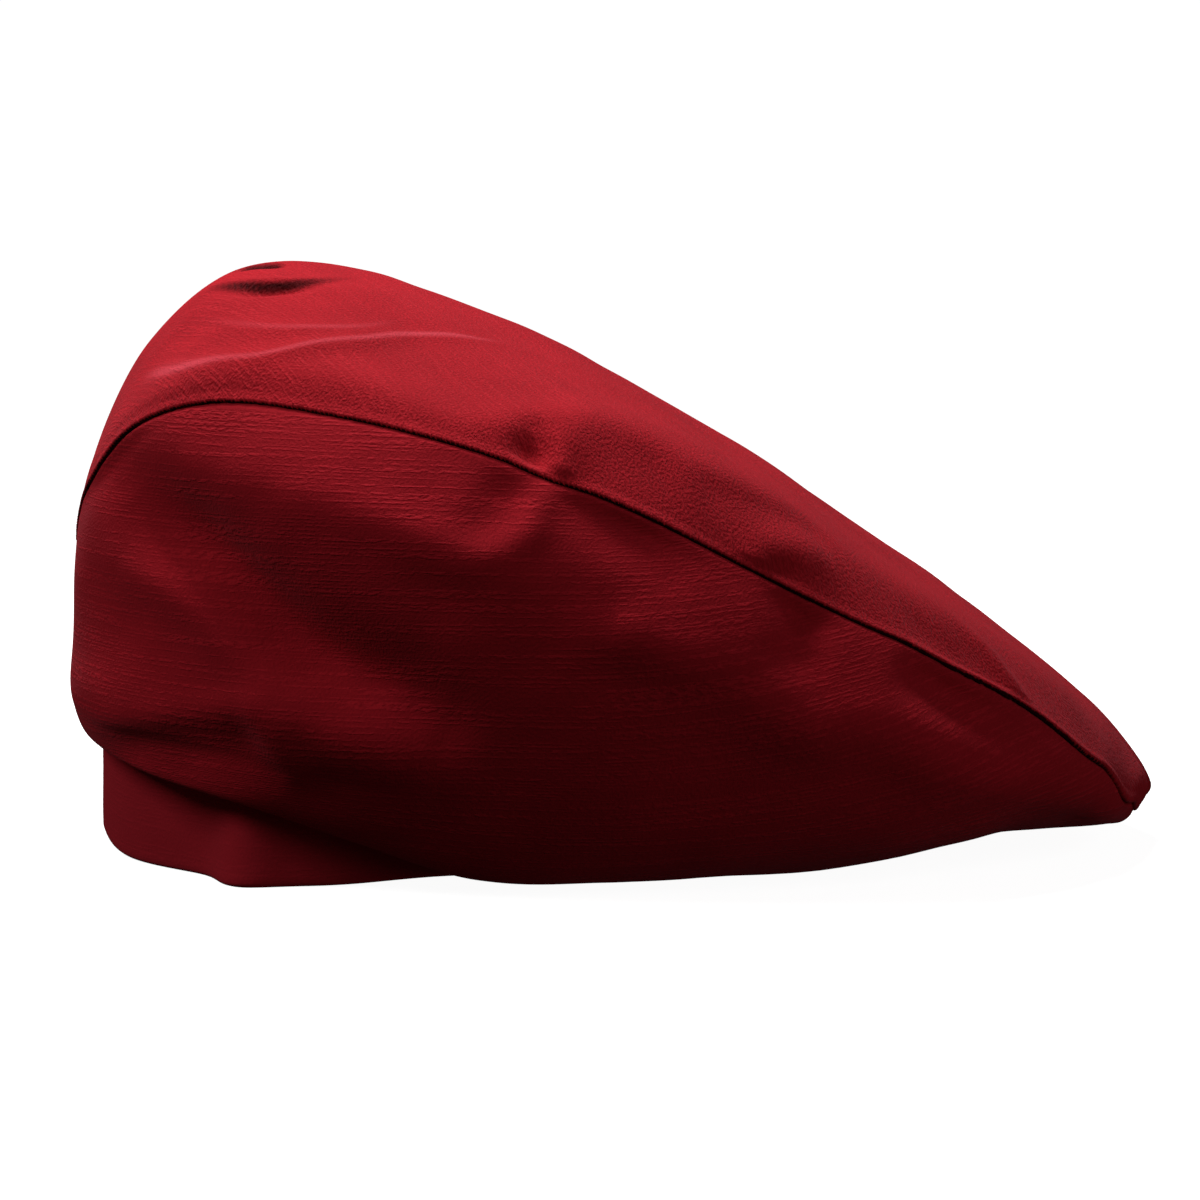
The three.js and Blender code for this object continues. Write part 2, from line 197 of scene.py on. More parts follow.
# Painted shade where the cloth of the top closes on itself and no light gets in. A negative shade
# paints the top paler: along the ridges of its creases, and as a painted sheen on the right towards
# the high end.
TOP_SHADES = [
    Fold(1.5, [(-107, -6, 0), (-102, -15, 0.6), (-97, -22, 0.9), (-90.5, -28, 1), (-84, -28.5, 1),
               (-77, -23.5, 0.7), (-70, -15, 0.3), (-65, -9, 0)]),
    Fold(2.8, [(-95, 1, 1), (-89, -2, 1)]),
    Fold(3.5, [(-122, -32, 0), (-115, -46, -0.25), (-106, -58, -0.22), (-94, -66, 0)]),
    Fold(1.3, [(-122, -30, 0), (-112, -52, -0.4), (-96, -66, -0.5), (-84, -70, -0.55), (-65.5, -63, -0.6),
               (-51.5, -51, -0.7), (-37.5, -41, -0.6), (-26, -30, 0)]),
    Fold(1.6, [(-110, -26, 0), (-96.5, -48, -0.25), (-83, -58, -0.4), (-66, -55, -0.4), (-51, -40.5, 0)]),
]

# A seam holds the cloth still. Folds set in over this distance from a side's seams, and over half of
# it from the top's rim. The top's ripples set in over a longer one.
SEAM_HOLD = 6.0
RIPPLE_HOLD = 25.0

# The top's folded edge swells over the lip's width, and the side tucks in under it over the groove's.
LIP_WIDTH = 2.5
GROOVE_WIDTH = 1.9
GROOVE_POWER = 0.8

# The seams at the ends of the sides: half the gap between the two, and how far and over what width
# they tuck in
END_CLEARANCE = 0.12
END_TUCK = 1.2
END_TUCK_WIDTH = 3.0

# Round the low point the seams lie flat: grooves, tucks and the shade painted into the sides' grooves
# die away over a turn, and the shade painted on the top's edge over a length.
FLAT_END_TURN = 40.0
FLAT_END_LENGTH = 40.0

# The sides' weave lies level up to a place along the cap, and beyond it bends up to the low end.
WEAVE_LEVEL = -10.0
WEAVE_BEND = 0.0018

# Gentle unevenness all over the cloth: the length of its waves, and their height. A ripple is a sum
# of crossing waves, and each wave's length is the ripple's times a factor from a range.
Ripple = namedtuple("Ripple", "length height seed")
TOP_RIPPLES = [Ripple(46, 0.3, 3), Ripple(17, 0.06, 5)]
SIDE_RIPPLES = [Ripple(52, 0.2, 11), Ripple(16, 0.06, 13)]
BAND_RIPPLES = [Ripple(38, 0.35, 21)]
RIPPLE_WAVES = 12
RIPPLE_RANGE = (0.7, 1.5)

# Steps of the meshes. A side has a span of rows from each of its guides to the next, and its folds
# set in over a few rows past the fold. Rows crowd towards the rim, and so do the lines of the top,
# all but a share of evenness.
TOP_STEPS = 200
TOP_EVENNESS = 0.15
SIDE_COLUMNS = 220
SIDE_GUIDES = ("seam", "roll", "leg", "fold", "lobe", "belly", "rim")
SIDE_SPANS = (5, 5, 8, 12, 14, 52)
FOLD_ROW = sum(SIDE_SPANS[:SIDE_GUIDES.index("fold")])
FREE_ROWS = 8
BELLY_ROW = sum(SIDE_SPANS[:SIDE_GUIDES.index("belly")])
RIM_CROWDING = 1.5
BAND_COLUMNS = 420
BAND_ROWS = 30
EDGE_STEPS = 4
PATH_STEPS = 5
CREST_STEPS = 400

# The seam's step in degrees when distances to it are taken, and the parts in which that is done
SEAM_STEP = 0.5
SEARCH_PARTS = 40


def short_turn(degrees):
    """Turns brought between minus and plus half a turn."""
    return np.mod(degrees + HALF_TURN, 2 * HALF_TURN) - HALF_TURN


def unit(vectors):
    """Vectors of length one."""
    return vectors / np.maximum(np.linalg.norm(vectors, axis=-1, keepdims=True), SMALLEST)


def blend_between(start, end, share):
    """A place at a share of the way from start to end."""
    return start + (end - start) * share


def ease(distance, reach):
    """A smooth rise from 0 at no distance to 1 at the reach."""
    share = np.clip(distance / reach, 0, 1)
    return share * share * (3 - 2 * share)


def knee(distance):
    """A straight rise that bends over to 1 at a distance of about 1."""
    return distance / (1 + distance ** ROLL_BEND) ** (1 / ROLL_BEND)


def smooth_curve(before, start, end, after, share):
    """A curve through evenly spaced values, between start and end."""
    bend = 2 * before - 5 * start + 4 * end - after
    twist = 3 * (start - end) + after - before
    return 0.5 * (2 * start + share * (end - before + share * (bend + share * twist)))


def section_value(column, bearing):
    """A column of the sections' table at any bearing."""
    values = np.array([getattr(section, column) for section in SECTIONS], float)
    last = len(values) - 1
    place = np.abs(short_turn(bearing)) / HALF_TURN * last
    row = np.minimum(place.astype(int), last - 1)
    near = [values[last - np.abs(last - np.abs(row + step))] for step in (-1, 0, 1, 2)]
    return smooth_curve(*near, place - row)


def bearing_bumps(table, column, bearing):
    """What the bumps of a table add up to at each bearing."""
    total = np.zeros(np.shape(bearing))
    for row in table:
        total += getattr(row, column) * np.exp(-((short_turn(bearing - row.bearing) / row.spread) ** 2))
    return total


def signed_power(value, exponent):
    """A power of a value's size that keeps the value's sign."""
    return np.sign(value) * np.abs(value) ** exponent


def oval_outward(oval, bearing):
    """Plan directions out of an oval, square to it."""
    angle, power = np.radians(bearing), 2 - 2 / oval.squareness
    half_length = (oval.low_end - oval.high_end) / 2
    along = signed_power(np.cos(angle), power) / half_length
    across = signed_power(np.sin(angle), power) / oval.half_width
    return unit(np.stack([along, across], -1))


def oval_points(oval, bearing, outward, height):
    """Points of a plan oval, moved out square to it."""
    angle, power = np.radians(bearing), 2 / oval.squareness
    half_length = (oval.low_end - oval.high_end) / 2
    x = (oval.low_end + oval.high_end) / 2 + half_length * signed_power(np.cos(angle), power)
    y = oval.half_width * signed_power(np.sin(angle), power)
    plan = np.stack([x, y], -1) + np.asarray(outward)[..., None] * oval_outward(oval, bearing)
    return np.concatenate([plan, np.broadcast_to(height, x.shape)[..., None]], -1)


def band_points(bearing, height, outward, band_height, wave_share=1.0):
    """Points beside the band that follow a share of the hem's waves."""
    free = 1 - HEM_HOLD * np.minimum(height / band_height, 1)
    push = outward + wave_share * free * bearing_bumps(HEM_WAVES, "push", bearing)
    return oval_points(BAND, bearing, push, height)


def rim_height(bearing):
    """Height of the rim seam with its puckers."""
    return section_value("rim", bearing) + bearing_bumps(PUCKERS, "rise", bearing)


def rim_points(bearing):
    """Points of the rim seam."""
    return oval_points(RIM, bearing, bearing_bumps(PUCKERS, "push", bearing), rim_height(bearing))


def side_sections(bearing, band_height):
    """The guides of a side panel: points from the band round the fold to the rim."""
    seam = np.full(bearing.shape, band_height + SEAM_RISE)
    fold_height, overhang = section_value("fold", bearing), section_value("overhang", bearing)
    start = band_points(bearing, seam, -SEAM_RISE, band_height)
    fold = band_points(bearing, fold_height, overhang, band_height, FOLD_FOLLOWS_HEM)
    leg = band_points(bearing, blend_between(seam, fold_height, LEG_SHARE), LEG_CLEARANCE, band_height)
    belly = oval_points(BELLY, bearing, np.zeros(bearing.shape), section_value("belly", bearing))
    roll = blend_between(start, fold, ROLL_SHARE)
    roll[..., 2] = seam + ROLL_RISE
    lobe = blend_between(fold, belly, np.array([LOBE_OUT, LOBE_OUT, LOBE_UP]))
    return [start, roll, leg, fold, lobe, belly, rim_points(bearing)]


def side_surface(bearing, band_height):
    """A grid of a side panel: columns along the bearings, rows from the band up to the rim."""
    guides = side_sections(bearing, band_height)
    guides = [2 * guides[0] - guides[1], *guides, 2 * guides[-1] - guides[-2]]
    rows = []
    for span, steps in enumerate(SIDE_SPANS):
        is_last = span + 1 == len(SIDE_SPANS)
        shares = np.arange(steps + is_last) / steps
        if is_last:
            shares = 1 - (1 - shares) ** RIM_CROWDING
        rows += [smooth_curve(*guides[span:span + 4], share) for share in shares]
    return np.stack(rows, 1)


def top_surface():
    """A grid of the top panel without poles: columns along the cap, rows across it."""
    even = np.linspace(-1, 1, TOP_STEPS + 1)
    graded = TOP_EVENNESS * even + (1 - TOP_EVENNESS) * np.sin(even * math.pi / 2)
    along, across = np.meshgrid(graded, graded, indexing="ij")
    x = along * np.sqrt(1 - across ** 2 / 2)
    y = across * np.sqrt(1 - along ** 2 / 2)
    half = np.degrees(np.arccos(np.clip(x, -1, 1)))
    reach = np.sqrt(np.maximum(1 - x ** 2, SMALLEST))
    bearing = np.where(y < 0, -half, half)
    crest = section_value("crest", bearing)
    roll = knee(RIM.half_width * np.maximum(reach - np.abs(y), 0) / section_value("roll", bearing))
    arch = 1 - np.minimum(np.abs(y) / reach, 1) ** np.where(y < 0, RIGHT_ARCH, LEFT_ARCH)
    share = np.where(y < 0, section_value("roll_share", bearing), 0)
    height = blend_between(rim_height(bearing), crest, blend_between(arch, roll, share))
    middle, half_length = (RIM.low_end + RIM.high_end) / 2, (RIM.low_end - RIM.high_end) / 2
    turned_in = np.clip(1 - (height - rim_height(bearing)) / TURN_IN, 0, 1) ** 2
    inward = bearing_bumps(PUCKERS, "push", bearing) * turned_in
    return np.stack([middle + half_length * x + inward, RIM.half_width * y, height], -1)


def bent_path(path):
    """A path that bends softly through its corners."""
    corners = np.array(path, float)
    corners = [2 * corners[0] - corners[1], *corners, 2 * corners[-1] - corners[-2]]
    shares = np.arange(PATH_STEPS) / PATH_STEPS
    bends = []
    for stretch in range(len(path) - 1):
        bends += [smooth_curve(*corners[stretch:stretch + 4], share) for share in shares]
    return [*bends, corners[-2]]


def beside_path(path, places):
    """How far each place is from a path, and the path's depth there."""
    nearest, depth = np.full(places.shape[:-1], np.inf), np.zeros(places.shape[:-1])
    bends = bent_path(path)
    for (*start, start_depth), (*end, end_depth) in zip(bends[:-1], bends[1:]):
        run = np.subtract(end, start)
        share = np.clip((places - start) @ run / (run @ run), 0, 1)
        distance = np.linalg.norm(places - start - share[..., None] * run, axis=-1)
        depth = np.where(distance < nearest, blend_between(start_depth, end_depth, share), depth)
        nearest = np.minimum(nearest, distance)
    return nearest, depth


def fold_depth(folds, places):
    """How deep the folds sink the cloth at each place."""
    total = np.zeros(places.shape[:-1])
    for fold in folds:
        distance, depth = beside_path(fold.path, places)
        total += depth * np.exp(-((distance / fold.width) ** 2))
    return total


def ripple_depth(ripples, places):
    """Gentle unevenness: crossing waves of about one length, at angles from a fixed seed."""
    depth = np.zeros(places.shape[:-1])
    for ripple in ripples:
        rng = np.random.default_rng(ripple.seed)
        angles = rng.uniform(0, 2 * math.pi, RIPPLE_WAVES)
        lengths = ripple.length * rng.uniform(*RIPPLE_RANGE, RIPPLE_WAVES)
        ways = np.stack([np.cos(angles), np.sin(angles)]) / lengths
        turns = 2 * math.pi * (places @ ways + rng.uniform(0, 1, RIPPLE_WAVES))
        depth += ripple.height * np.sin(turns).sum(-1) / math.sqrt(RIPPLE_WAVES / 2)
    return depth


def seam_distance(points):
    """Distance from each point to the rim seam."""
    seam = rim_points(np.arange(0, 2 * HALF_TURN, SEAM_STEP))
    parts = np.array_split(points.reshape(-1, 3), SEARCH_PARTS)
    nearest = [np.sqrt(((part[:, None] - seam) ** 2).sum(-1).min(1)) for part in parts]
    return np.concatenate(nearest).reshape(points.shape[:-1])


def grid_normals(grid, ring=False):
    """Outward normals of a grid of points."""
    area = np.cross(grid[1:, 1:] - grid[:-1, :-1], grid[:-1, 1:] - grid[1:, :-1])
    total = np.zeros_like(grid)
    for columns in (slice(None, -1), slice(1, None)):
        for rows in (slice(None, -1), slice(1, None)):
            total[columns, rows] += area
    if ring:
        total[0] = total[-1] = total[0] + total[-1]
    return unit(total)


def run_lengths(grid, axis):
    """Lengths along a grid's lines, from their start."""
    steps = np.linalg.norm(np.diff(grid, axis=axis), axis=-1)
    return np.cumsum(np.concatenate([np.zeros_like(steps.take([0], axis)), steps], axis), axis)


# Closed walls of cloth


def grid_cells(ids):
    """Four corners of each cell of a grid, facing out."""
    corners = [ids[:-1, :-1], ids[1:, :-1], ids[1:, 1:], ids[:-1, 1:]]
    return np.stack([corner.ravel() for corner in corners], 1)


def border_loops(ids, ring):
    """The borders of a grid, in the order that keeps the cloth on their left."""
    if ring:
        return [ids[:-1, 0], ids[:-1, -1][::-1]]
    return [np.concatenate([ids[:-1, 0], ids[-1, :-1], ids[:0:-1, -1], ids[0, :0:-1]])]


def edge_outward(edge, square):
    """Directions out of a border, along the cloth that it ends."""
    return unit(np.cross(np.roll(edge, -1, 0) - np.roll(edge, 1, 0), square))


def wall_mesh(name, grid, cloth, thickness, ring=False, seam_shade=0.0, edge_seam_shade=0.0, shade=0.0):
    """A closed wall of even thickness behind a grid, with rounded edges. cloth holds the place of each
    point on the flat cloth; a point's depth in a seam, 0 to 1, and that of the edges' inner sides paint
    shade into the seam's groove, and shade paints shade into a closed crease, or paler where negative."""
    count = grid.shape[0] * grid.shape[1]
    ids = np.arange(count).reshape(grid.shape[:2])
    outer, normals = grid.reshape(-1, 3), grid_normals(grid, ring).reshape(-1, 3)
    laid = np.dstack([cloth, *(np.broadcast_to(value, grid.shape[:2]) for value in (seam_shade, shade))])
    points, places = [outer, outer - thickness * normals], [laid.reshape(-1, 4)] * 2
    inner_seam_shade = np.broadcast_to(edge_seam_shade, grid.shape[:2]).ravel()
    cells = grid_cells(ids)
    faces = [cells, cells[:, ::-1] + count]
    total = 2 * count
    for loop in border_loops(ids, ring):
        edge, square = outer[loop], normals[loop]
        outward = edge_outward(edge, square)
        layers = [loop]
        for turn in np.linspace(0, math.pi, EDGE_STEPS + 2)[1:-1]:
            arc = (math.cos(turn) - 1) * square + math.sin(turn) * outward
            points.append(edge + thickness / 2 * arc)
            place = places[0][loop]
            # As the edge turns under, its inner side gets the painted seam shade.
            turned_under_shade = inner_seam_shade[loop] * ease(turn, math.pi / 2)
            place[:, SEAM_SHADE_COLUMN] = np.maximum(place[:, SEAM_SHADE_COLUMN], turned_under_shade)
            places.append(place)
            layers.append(total + np.arange(len(loop)))
            total += len(loop)
        layers.append(loop + count)
        for first, second in zip(layers[:-1], layers[1:]):
            faces.append(np.stack([first, second, np.roll(second, -1), np.roll(first, -1)], 1))
    faces = np.concatenate(faces)
    vertex = np.arange(total)
    if ring:
        vertex[ids[-1]] = ids[0]
        vertex[ids[-1] + count] = ids[0] + count
    kept, corners = np.unique(vertex[faces], return_inverse=True)
    mesh = bpy.data.meshes.new(name)
    mesh.from_pydata((np.concatenate(points)[kept] * MM).tolist(), [], corners.reshape(-1, 4).tolist())
    layer = mesh.uv_layers.new(name=CLOTH_MAP)
    places = np.concatenate(places)
    layer.uv.foreach_set("vector", (places[:, :2] * MM)[faces.ravel()].ravel().astype(np.float32))
    # Shade painted into the seam's groove and into closed creases, for the finishes to darken the dye
    for attribute, column in ((PAINTED_SEAM_SHADE, SEAM_SHADE_COLUMN), (CREASE_SHADE, SHADE_COLUMN)):
        values = places[kept, column].astype(np.float32)
        mesh.attributes.new(attribute, "FLOAT", "POINT").data.foreach_set("value", values)
    mesh.shade_smooth()
    if mesh.validate():
        raise RuntimeError(f"{name} has faces that cannot stand")
    return mesh


# Twill finishes

# Places of the colour sockets on a Mix node, whose names repeat for each kind of value
MIX_SHARE = 0
MIX_FIRST = 6
MIX_SECOND = 7
MIX_RESULT = 2


def fill_socket(tree, socket, value):
    """Links a socket to a value of the tree, or sets it to a plain value."""
    if isinstance(value, Strand):
        value = value.socket
    if isinstance(value, bpy.types.NodeSocket):
        tree.links.new(value, socket)
    else:
        socket.default_value = value


def add_node(tree, kind, settings=None, sockets=None):
    """The outputs of a new node, with its settings made first, then its sockets filled or linked."""
    made = tree.nodes.new(kind)
    for name, value in (settings or {}).items():
        setattr(made, name, value)
    for name, value in (sockets or {}).items():
        fill_socket(tree, made.inputs[name], value)
    return made.outputs


class Strand:
    """A value in a finish's node tree that takes part in maths."""

    def __init__(self, finish, socket):
        self.finish = finish
        self.socket = socket

    def maths(self, operation, *values):
        """The result of a Math node."""
        return self.finish.node("ShaderNodeMath", {"operation": operation}, dict(enumerate(values)))

    def __add__(self, other):
        return self.maths("ADD", self, other)

    def __radd__(self, other):
        return self.maths("ADD", other, self)

    def __sub__(self, other):
        return self.maths("SUBTRACT", self, other)

    def __rsub__(self, other):
        return self.maths("SUBTRACT", other, self)

    def __mul__(self, other):
        return self.maths("MULTIPLY", self, other)

    def __rmul__(self, other):
        return self.maths("MULTIPLY", other, self)

    def __truediv__(self, other):
        return self.maths("DIVIDE", self, other)

    def __rtruediv__(self, other):
        return self.maths("DIVIDE", other, self)

    def between(self, low, high):
        """A smooth step from 0 at low to 1 at high."""
        sockets = {"Value": self, "From Min": low, "From Max": high}
        return self.finish.node("ShaderNodeMapRange", {"interpolation_type": "SMOOTHSTEP"}, sockets)


class Finish:
    """A material whose nodes are added one by one."""

    def __init__(self, name):
        self.material = bpy.data.materials.new(name)
        self.material.use_nodes = True
        self.tree = self.material.node_tree
        self.shader = next(node for node in self.tree.nodes if node.type == "BSDF_PRINCIPLED")

    def node(self, kind, settings=None, sockets=None, output=0):
        """One output of a new node."""
        return Strand(self, add_node(self.tree, kind, settings, sockets)[output])

    def parts(self, vector):
        """The three numbers of a vector."""
        split = self.node("ShaderNodeSeparateXYZ", None, {0: vector})
        return [Strand(self, socket) for socket in split.socket.node.outputs]

    def uneven(self, along, across, grain):
        """Uneven grey between 0 and 1 at a place."""
        place = self.node("ShaderNodeCombineXYZ", None,
                          {0: along / grain.length, 1: across / grain.width, 2: grain.seed})
        noise = self.node("ShaderNodeTexNoise", None,
                          {"Vector": place, "Scale": 1.0, "Detail": grain.detail})
        return noise.between(grain.low, grain.high)

    def tint(self, share, first, second):
        """A colour between two others."""
        sockets = {MIX_SHARE: share, MIX_FIRST: first, MIX_SECOND: second}
        return self.node("ShaderNodeMix", {"data_type": "RGBA"}, sockets, output=MIX_RESULT)

    def set(self, **sockets):
        """Fills the shader's own sockets."""
        for name, value in sockets.items():
            fill_socket(self.tree, self.shader.inputs[name.replace("_", " ")], value)


# How far a weave is turned on the flat cloth, the pitch of its ribs, the length of its slubs, the
# share of nap in its relief, how deep that relief is, and how far its colour is painted brighter on
# the raised relief as a glint and darker in the hollows as shade
Weave = namedtuple("Weave", "turn pitch slub_length nap depth contrast")
TOP_WEAVE = Weave(60.0, 0.8, 2.5, 0.6, 0.32, 0.2)
SIDE_WEAVE = Weave(0.0, 0.85, 2.2, 0.34, 0.21, 0.16)
BAND_WEAVE = Weave(0.0, 0.8, 5.0, 0.5, 0.08, 0.06)

# Uneven greys: their size along and across the ribs, their detail and seed, and the levels of noise
# that become 0 and 1. The sizes of the ribs and slubs count in slubs and pitches.
Grain = namedtuple("Grain", "length width detail seed low high")
RIB_GRAIN = Grain(30, 1, 0.0, 1.0, 0.45, 0.62)
SLUB_GRAIN = Grain(1, 1, 1.0, 2.0, 0.36, 0.6)
WEAR_GRAIN = Grain(26, 20, 2.0, 3.0, 0.3, 0.7)
NAP_GRAIN = Grain(0.75, 0.75, 2.0, 4.0, 0.25, 0.75)
DYE_GRAIN = Grain(31, 23, 3.0, 5.0, 0.25, 0.75)

# How much wear takes off the ribs and fading off the dye, how much the painted glint on the ribs'
# crowns gains against the painted shade that the hollows lose, and how dark the shade painted into
# seams and closed creases gets
WEAR = 0.5
FADING = 0.14
CROWN_GLINT_GAIN = 1.6
SEAM_SHADE_DARKNESS = 0.93
SEAM_SHADE_LEVELS = (0.15, 0.55)
RIBS_IN_SEAM = 0.35
CREASE_DARKNESS = 0.9
TWILL_ROUGHNESS = 0.92
RIB_SMOOTHNESS = 0.12
TWILL_GLOSS = 0.04
NAP_ROUGHNESS = 0.4


def opaque(colour):
    """A colour with full cover."""
    return (*colour, 1.0)


def shaded(colour, share):
    """A share of a colour, with full cover."""
    return opaque([value * share for value in colour])


def twill_finish(name, colour, weave, colours):
    """Matte cotton twill: ribs, slubs, nap and heathered dye, with painted glint, shade and sheen."""
    finish = Finish(name)
    flat = finish.node("ShaderNodeUVMap", {"uv_map": CLOTH_MAP})
    turn = (0, 0, math.radians(weave.turn))
    turned = finish.node("ShaderNodeMapping", None, {"Vector": flat, "Rotation": turn})
    along, across, _ = finish.parts(turned)
    along, across = along / MM, across / MM
    in_slubs, in_pitches = along / weave.slub_length, across / weave.pitch
    rib = finish.uneven(in_slubs, in_pitches, RIB_GRAIN)
    slub = finish.uneven(in_slubs, in_pitches, SLUB_GRAIN)
    wear = finish.uneven(along, across, WEAR_GRAIN)
    nap = finish.uneven(along, across, NAP_GRAIN)
    dye = finish.uneven(along, across, DYE_GRAIN)
    thread = rib * slub * (wear * WEAR + (1 - WEAR))
    relief = thread * (1 - weave.nap) + nap * weave.nap
    bump = finish.node("ShaderNodeBump", None,
                       {"Strength": 1.0, "Distance": weave.depth * MM, "Height": relief})
    # Shade painted into the rim seam's groove, and the top's painted crease shade
    seam_shade = finish.node("ShaderNodeAttribute", {"attribute_name": PAINTED_SEAM_SHADE}, output="Fac")
    shade = finish.node("ShaderNodeAttribute", {"attribute_name": CREASE_SHADE}, output="Fac")
    # The raised relief is painted brighter as a glint, and its hollows darker as shade.
    hollow, crown = 1 - weave.contrast, 1 + CROWN_GLINT_GAIN * weave.contrast
    yarn = finish.tint(relief, shaded(colour, hollow), shaded(colour, crown))
    # The seam's painted shade, its upper edge broken by the ribs
    seam = (seam_shade - thread * RIBS_IN_SEAM).between(*SEAM_SHADE_LEVELS)
    grey = (dye * FADING + (1 - FADING)) * (1 - SEAM_SHADE_DARKNESS * seam)
    # Painted shade in the top's closed creases
    grey = grey * (1 - CREASE_DARKNESS * shade.between(0, 1))
    dyed_and_shaded = finish.node("ShaderNodeVectorMath", {"operation": "SCALE"}, {0: yarn, "Scale": grey})
    # Where the crease shade is negative the colour goes paler, along crease ridges and as a painted sheen
    paled = finish.tint((0 - shade).between(0, 1), dyed_and_shaded, opaque(colours.pale_lines_and_sheen))
    finish.set(Base_Color=paled, Roughness=TWILL_ROUGHNESS - thread * RIB_SMOOTHNESS, Normal=bump,
               Specular_IOR_Level=TWILL_GLOSS, Sheen_Weight=colours.sheen_weight,
               Sheen_Roughness=NAP_ROUGHNESS, Sheen_Tint=opaque(colours.sheen))
    return finish.material


# Sizes and colours that a user may change


class CapSizes(bpy.types.PropertyGroup):
    """Sizes of the cloth and its seams."""

    panel_wall: bpy.props.FloatProperty(
        name="Panel wall", description="Thickness of the crown's cloth", default=0.0015, unit="LENGTH")
    band_wall: bpy.props.FloatProperty(
        name="Band wall", description="Thickness of the doubled headband", default=0.002, unit="LENGTH")
    band_height: bpy.props.FloatProperty(
        name="Band height", description="Height of the headband", default=BAND_TOP, unit="LENGTH")
    lip: bpy.props.FloatProperty(
        name="Rim lip", description="How far the top panel's folded edge reaches over the rim seam",
        default=0.0004, unit="LENGTH")
    groove: bpy.props.FloatProperty(
        name="Seam groove", description="How deep the side panels tuck in under the rim seam",
        default=0.0026, unit="LENGTH")
    yarn_spacing: bpy.props.FloatProperty(
        name="Yarn spacing", description="Distance between the yarns along the rim's folded edge",
        default=0.0013, unit="LENGTH")
    yarn_length: bpy.props.FloatProperty(
        name="Yarn length", description="Length of a yarn on the rim's folded edge",
        default=0.0016, unit="LENGTH")
    yarn_width: bpy.props.FloatProperty(
        name="Yarn width", description="Width of a yarn on the rim's folded edge",
        default=0.0005, unit="LENGTH")


class TwillColours(bpy.types.PropertyGroup):
    """Dyes of the twill."""

    top: bpy.props.FloatVectorProperty(
        name="Top", description="Dye of the top panel", subtype="COLOR", size=3,
        default=(0.52, 0.014, 0.0235))
    side: bpy.props.FloatVectorProperty(
        name="Sides", description="Dye of the side panels", subtype="COLOR", size=3,
        default=(0.53, 0.015, 0.026))
    band: bpy.props.FloatVectorProperty(
        name="Band", description="Dye of the headband", subtype="COLOR", size=3,
        default=(0.53, 0.02, 0.033))
    # The paler colour along the top's crease ridges and of its painted sheen
    pale_lines_and_sheen: bpy.props.FloatVectorProperty(
        name="Pale lines and sheen", description="Dye left along the rubbed creases", subtype="COLOR", size=3,
        default=(0.8, 0.08, 0.11))
    sheen: bpy.props.FloatVectorProperty(
        name="Sheen", description="Tint of the nap at a grazing view", subtype="COLOR", size=3,
        default=(1.0, 0.42, 0.5))
    sheen_weight: bpy.props.FloatProperty(
        name="Sheen weight", description="How much the nap shows", subtype="FACTOR",
        default=0.09, min=0, max=1)


class StudioLight(bpy.types.PropertyGroup):
    """The floor and the light round the cap."""

    floor: bpy.props.FloatVectorProperty(
        name="Floor", description="Colour of the floor", subtype="COLOR", size=3, default=(0.7, 0.7, 0.7))
    key_power: bpy.props.FloatProperty(
        name="Key light", description="Power of the soft light over the high end", default=6.4, unit="POWER")
    fill_power: bpy.props.FloatProperty(
        name="Fill light", description="Power of the wide light beyond the low end",
        default=4.0, unit="POWER")
    side_power: bpy.props.FloatProperty(
        name="Side light", description="Power of the light beyond the high end", default=5.2, unit="POWER")
    air: bpy.props.FloatProperty(
        name="Air", description="Brightness of the light from all round", default=0.017)


# Pieces


def place_piece(name, mesh, finish, node=None):
    """Puts a finished mesh in the scene as a piece of the cap."""
    mesh.materials.clear()
    mesh.materials.append(finish)
    piece = bpy.data.objects.new(name, mesh)
    bpy.context.scene.collection.objects.link(piece)
    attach(piece, "root")
    if node:
        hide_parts(node)


def sunk(grid, depth, ring=False):
    """A grid sunk along its normals."""
    return grid - grid_normals(grid, ring) * depth[..., None]


def top_grid(sizes):
    """The shaped top panel, with folds, ripples and a lip at the rim, and the shade painted into
    its creases, with paler lines and a painted sheen.
    """
    grid = top_surface()
    off_seam = seam_distance(grid)
    plan = grid[..., :2]
    depth = ease(off_seam, SEAM_HOLD / 2) * fold_depth(TOP_FOLDS, plan)
    depth += ease(off_seam, RIPPLE_HOLD) * ripple_depth(TOP_RIPPLES, plan)
    grid = sunk(grid, depth)
    middle = np.array([(RIM.low_end + RIM.high_end) / 2, 0])
    lip = (sizes.lip / MM) * (1 - ease(off_seam, LIP_WIDTH))
    grid[..., :2] += unit(grid[..., :2] - middle) * lip[..., None]
    return grid, np.minimum(fold_depth(TOP_SHADES, plan), 1)


def top_cloth(grid):
    """Places of the top panel's points on the flat cloth."""
    crest = np.linspace(0, HALF_TURN, CREST_STEPS)
    line = np.stack([oval_points(RIM, crest, 0.0 * crest, 0)[:, 0], section_value("crest", crest)], -1)
    length = np.concatenate([[0], np.cumsum(np.linalg.norm(np.diff(line, axis=0), axis=-1))])
    along = np.interp(-grid[..., 0], -line[:, 0], length)
    drop = np.interp(-grid[..., 0], -line[:, 0], line[:, 1]) - grid[..., 2]
    return np.stack([-along, np.sign(grid[..., 1]) * np.hypot(grid[..., 1], drop)], -1)


